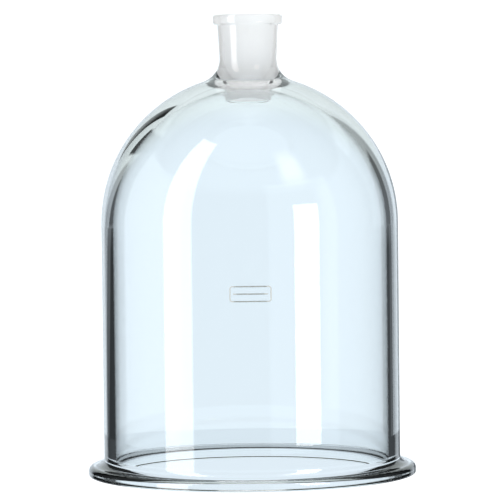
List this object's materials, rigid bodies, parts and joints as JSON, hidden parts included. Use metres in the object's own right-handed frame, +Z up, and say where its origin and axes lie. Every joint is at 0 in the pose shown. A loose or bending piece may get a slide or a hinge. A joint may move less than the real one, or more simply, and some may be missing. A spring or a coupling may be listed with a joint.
{
  "type": "glass bell jar with ground socket",
  "caption": "Clear glass bell jar with a hemispherical dome, a conical ground-glass socket fused into its top and a thick flat base flange.",
  "frame": {"origin": "centre of the flange's flat ground underside, the plane that the jar stands on", "axes": "+Z up along the jar's axis, out of the ground socket; -Y is the front, where the enamel mark is; +X completes the right-handed frame"},
  "size_m": [0.21, 0.21, 0.294],
  "materials": {
    "clear_glass": "fire-polished clear borosilicate glass",
    "flange_glass": "clear borosilicate glass, underside ground flat and polished",
    "ground_glass": "clear outside, finely ground frosted bore",
    "seal_glass": "thick fused clear glass with a faint wavy surface",
    "white_enamel": "thin matt white ceramic enamel fired on the glass"
  },
  "bodies": {
    "root": {"bell_body": "clear_glass", "base_flange": "flange_glass", "joint_socket": "ground_glass", "ring_seal": "seal_glass", "enamel_mark": "white_enamel"}
  },
  "joints": []
}
